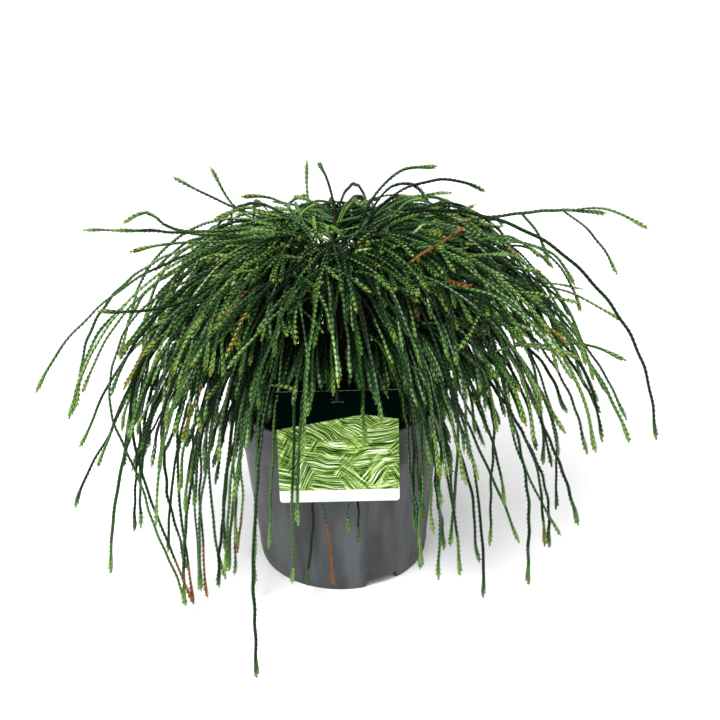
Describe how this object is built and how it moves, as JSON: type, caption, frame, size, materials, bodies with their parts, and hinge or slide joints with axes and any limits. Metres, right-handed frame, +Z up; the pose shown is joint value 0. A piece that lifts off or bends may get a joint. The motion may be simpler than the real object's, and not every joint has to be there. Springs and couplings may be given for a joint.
{
  "type": "potted weeping cedar",
  "caption": "Low mop-headed conifer with long cord-like weeping shoots, growing in a round grey nursery pot with a picture card tied at the front.",
  "frame": {"origin": "centre of the flat underside of the pot, on the ground", "axes": "+Z up along the pot's axis; the card faces -Y; +X is to the right when looking at the card"},
  "size_m": [0.6538, 0.5341, 0.4352],
  "materials": {
    "pot_plastic": "slightly glossy moulded grey plastic",
    "potting_mix": "damp chipped bark",
    "card": "printed plastic card",
    "tie": "dark strap",
    "bark": "fibrous red-brown bark",
    "cap_foliage": "scale-leaved shoots, mid green with yellow-green tips",
    "skirt_foliage": "scale-leaved shoots, darker green"
  },
  "bodies": {
    "root": {"pot": "pot_plastic", "potting_mix": "potting_mix", "picture_card": "card", "trunk": "bark", "bough_cap_01": "bark", "foliage_cap_01": "cap_foliage", "bough_cap_02": "bark", "foliage_cap_02": "cap_foliage", "bough_cap_03": "bark", "foliage_cap_03": "cap_foliage", "bough_cap_04": "bark", "foliage_cap_04": "cap_foliage", "bough_cap_05": "bark", "foliage_cap_05": "cap_foliage", "bough_cap_06": "bark", "foliage_cap_06": "cap_foliage", "bough_skirt_01": "bark", "foliage_skirt_01": "skirt_foliage", "bough_skirt_02": "bark", "foliage_skirt_02": "skirt_foliage", "bough_skirt_03": "bark", "foliage_skirt_03": "skirt_foliage", "bough_skirt_04": "bark", "foliage_skirt_04": "skirt_foliage", "bough_skirt_05": "bark", "foliage_skirt_05": "skirt_foliage", "bough_skirt_06": "bark", "foliage_skirt_06": "skirt_foliage", "bough_skirt_07": "bark", "foliage_skirt_07": "skirt_foliage", "bough_skirt_08": "bark", "foliage_skirt_08": "skirt_foliage", "bough_skirt_09": "bark", "foliage_skirt_09": "skirt_foliage", "bough_skirt_10": "bark", "foliage_skirt_10": "skirt_foliage", "bough_skirt_11": "bark", "foliage_skirt_11": "skirt_foliage", "bough_skirt_12": "bark", "foliage_skirt_12": "skirt_foliage", "bough_skirt_13": "bark", "foliage_skirt_13": "skirt_foliage", "bough_skirt_14": "bark", "foliage_skirt_14": "skirt_foliage", "bough_skirt_15": "bark", "foliage_skirt_15": "skirt_foliage", "card_tie": "tie"}
  },
  "joints": []
}
